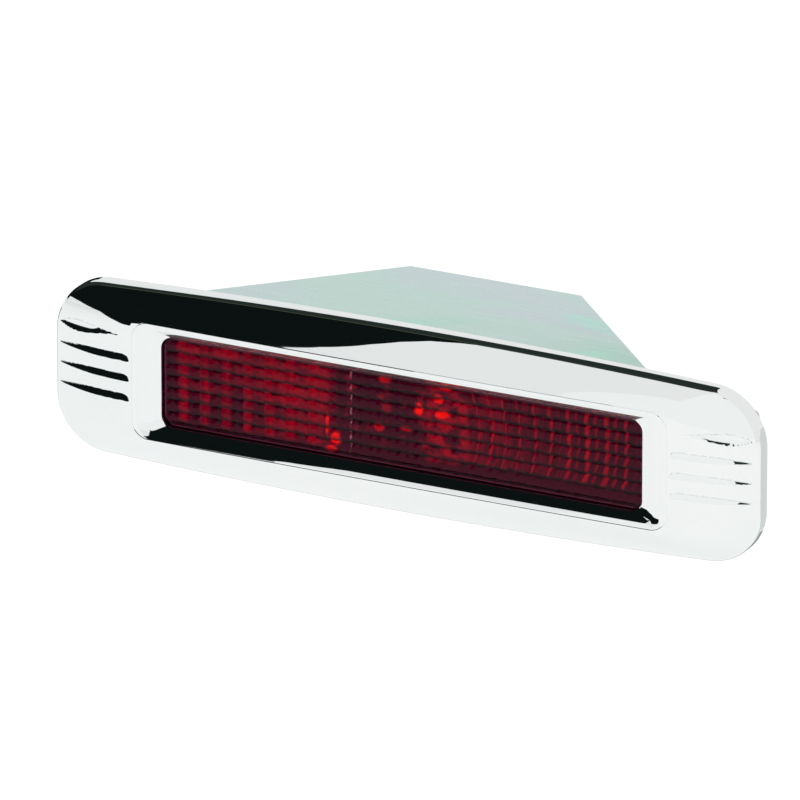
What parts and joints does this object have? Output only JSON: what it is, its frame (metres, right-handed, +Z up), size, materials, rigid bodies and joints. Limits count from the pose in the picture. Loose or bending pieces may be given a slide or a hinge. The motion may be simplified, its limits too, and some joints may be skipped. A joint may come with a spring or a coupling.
{
  "type": "tail light",
  "caption": "Long slim motorcycle tail light: chromed bezel with end grooves, ribbed red lens, tapered zinc-plated bucket and a bayonet bulb in a sprung socket, held by studs.",
  "frame": {"origin": "centre of the plane of the bezel's back edge, which faces the panel that the light is bolted to", "axes": "+X along the bezel, +Y back through the panel, +Z up; the lens faces -Y"},
  "size_m": [0.254, 0.0877, 0.0636],
  "materials": {
    "chrome": "polished",
    "red_lens": "gloss",
    "rubber": "matte",
    "zinc": "satin",
    "steel": "satin",
    "brass": "satin",
    "solder": "satin",
    "tungsten": "satin",
    "phenolic": "matte",
    "black_glass": "gloss",
    "clear_glass": "gloss"
  },
  "bodies": {
    "housing": {"bezel": "chrome", "lens": "red_lens", "lens_gasket": "rubber", "lens_retainer": "zinc", "panel_gasket": "rubber", "bucket_top_plate": "zinc", "bucket_bottom_plate": "zinc", "bucket_wrap": "zinc", "socket_shell": "steel", "socket_flange": "zinc", "socket_rivet_left": "steel", "socket_rivet_right": "steel", "socket_rear_cap": "phenolic", "contact_spring": "steel", "bucket_screw_1": "steel", "bucket_screw_2": "steel", "bucket_screw_3": "steel", "bucket_screw_4": "steel", "mounting_stud_1": "steel", "mounting_stud_2": "steel", "mounting_stud_3": "steel", "mounting_stud_4": "steel", "flat_washer_1": "zinc", "flat_washer_2": "zinc", "flat_washer_3": "zinc", "flat_washer_4": "zinc", "lock_washer_1": "steel", "lock_washer_2": "steel", "lock_washer_3": "steel", "lock_washer_4": "steel", "hex_nut_1": "zinc", "hex_nut_2": "zinc", "hex_nut_3": "zinc", "hex_nut_4": "zinc"},
    "plunger": {"contact_plate": "phenolic", "contact_rivet_tail": "brass", "contact_rivet_brake": "brass"},
    "bulb": {"bulb_base": "brass", "bulb_base_insulator": "black_glass", "solder_pad_tail": "solder", "solder_pad_brake": "solder", "bulb_glass": "clear_glass", "bulb_stem": "clear_glass", "tail_filament": "tungsten", "brake_filament": "tungsten"}
  },
  "joints": [
    {"name": "bulb_push", "type": "slide", "parent": "housing", "child": "plunger", "axis": [0, 1, 0], "range_m": [0, 0.0025], "stiffness_N_per_m": 300, "springref_m": -0.004, "deforming": ["contact_spring"]},
    {"name": "bulb_turn", "type": "hinge", "parent": "plunger", "child": "bulb", "pos_m": [0, 0.0575, 0], "axis": [0, 1, 0], "range_deg": [-20, 0]}
  ]
}
